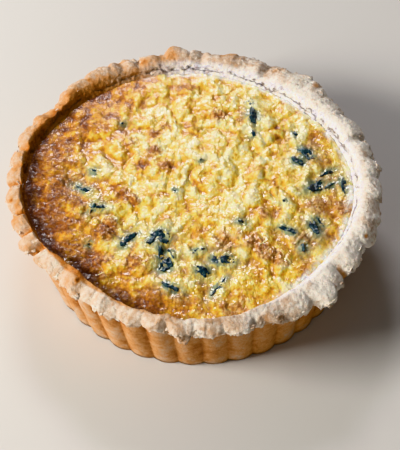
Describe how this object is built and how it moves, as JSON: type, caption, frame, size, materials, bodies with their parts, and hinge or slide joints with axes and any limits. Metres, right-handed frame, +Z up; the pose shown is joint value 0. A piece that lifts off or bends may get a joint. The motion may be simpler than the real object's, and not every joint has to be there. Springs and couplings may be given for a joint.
{
  "type": "quiche",
  "caption": "Deep round fluted shortcrust quiche with a ragged folded rim, a browned cheese and custard filling and scraps of spinach on top.",
  "frame": {"origin": "middle of the flat base that the quiche stands on", "axes": "+Z up through the filling, -Y towards the front, +X to the right"},
  "size_m": [0.2553, 0.2537, 0.0587],
  "materials": {
    "pastry": "matt, floury",
    "custard": "satin, oily on the bumps",
    "spinach": "satin"
  },
  "bodies": {
    "root": {"crust": "pastry", "filling": "custard", "spinach_01": "spinach", "spinach_02": "spinach", "spinach_03": "spinach", "spinach_04": "spinach", "spinach_05": "spinach", "spinach_06": "spinach", "spinach_07": "spinach", "spinach_08": "spinach", "spinach_09": "spinach", "spinach_10": "spinach", "spinach_11": "spinach", "spinach_12": "spinach", "spinach_13": "spinach", "spinach_14": "spinach"}
  },
  "joints": []
}
